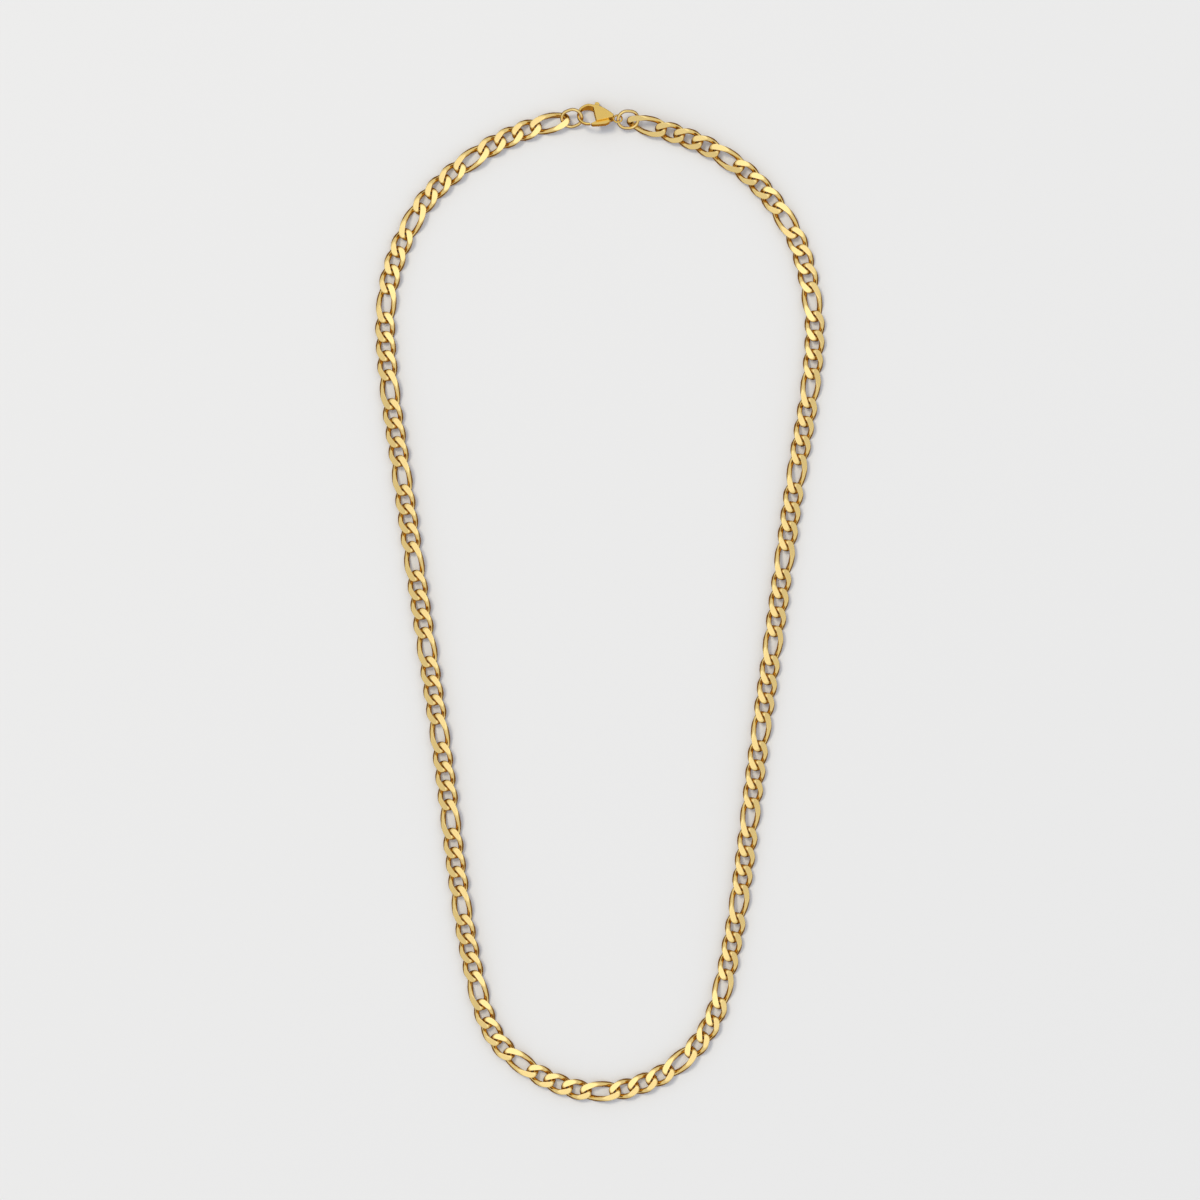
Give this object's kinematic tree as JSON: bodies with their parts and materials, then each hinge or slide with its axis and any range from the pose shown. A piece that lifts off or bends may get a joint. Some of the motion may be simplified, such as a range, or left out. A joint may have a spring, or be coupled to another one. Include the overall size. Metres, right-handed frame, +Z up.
{
  "type": "figaro chain necklace",
  "caption": "Gold-coloured figaro chain necklace laid out flat as one closed loop: long and short flat-ground curb links in turn, closed by a lobster claw clasp.",
  "frame": {"origin": "on the surface that the chain lies on, under the middle of its bounding box", "axes": "+X to the right and +Y towards the clasp, both seen from above; +Z up from the surface"},
  "size_m": [0.1078, 0.2396, 0.0041],
  "materials": {
    "gold": "polished"
  },
  "bodies": {
    "necklace": {"chain_left": "gold", "chain_right": "gold", "end_ring": "gold", "clasp_ring": "gold", "claw_body": "gold", "claw_pin": "gold"},
    "lever": {"claw_lever": "gold"}
  },
  "joints": [
    {"name": "lever_pivot", "type": "hinge", "parent": "necklace", "child": "lever", "pos_m": [0.0006, 0.11638, 0.00231], "axis": [0, -0.4695, -0.8829], "range_deg": [0, 30], "stiffness_Nm_per_rad": 0.001, "springref_deg": -11.46}
  ]
}
